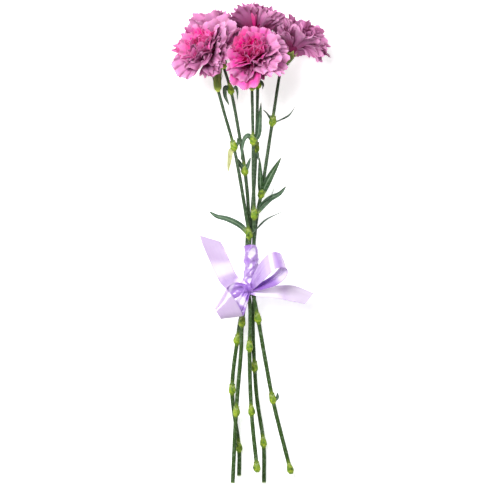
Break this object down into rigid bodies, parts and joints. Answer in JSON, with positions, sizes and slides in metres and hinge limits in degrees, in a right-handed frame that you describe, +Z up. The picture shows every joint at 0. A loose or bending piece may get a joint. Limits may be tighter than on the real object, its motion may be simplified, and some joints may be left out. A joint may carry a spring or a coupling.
{
  "type": "bunch of carnations",
  "caption": "Cut carnations with frilled two-tone pink blooms on jointed leafy stems, tied in a bunch with a satin ribbon bow and lying on a surface.",
  "frame": {"origin": "middle of the bunch's box, on the surface that it lies on", "axes": "+Y up the stems to the blooms, +Z up from the surface, +X across the bunch to the right when the blooms are at the top"},
  "size_m": [0.1756, 0.5394, 0.1068],
  "materials": {
    "petal": "soft matte petals, mauve pink with hot pink hearts",
    "stem": "waxy grey-green with yellow-green joints",
    "ribbon": "lilac satin"
  },
  "bodies": {
    "root": {"stem_left_front": "stem", "stem_left_back": "stem", "stem_front": "stem", "stem_centre_back": "stem", "stem_right": "stem", "bloom_left_front": "petal", "bloom_left_back": "petal", "bloom_front": "petal", "bloom_centre_back": "petal", "bloom_right": "petal", "ribbon": "ribbon"}
  },
  "joints": []
}
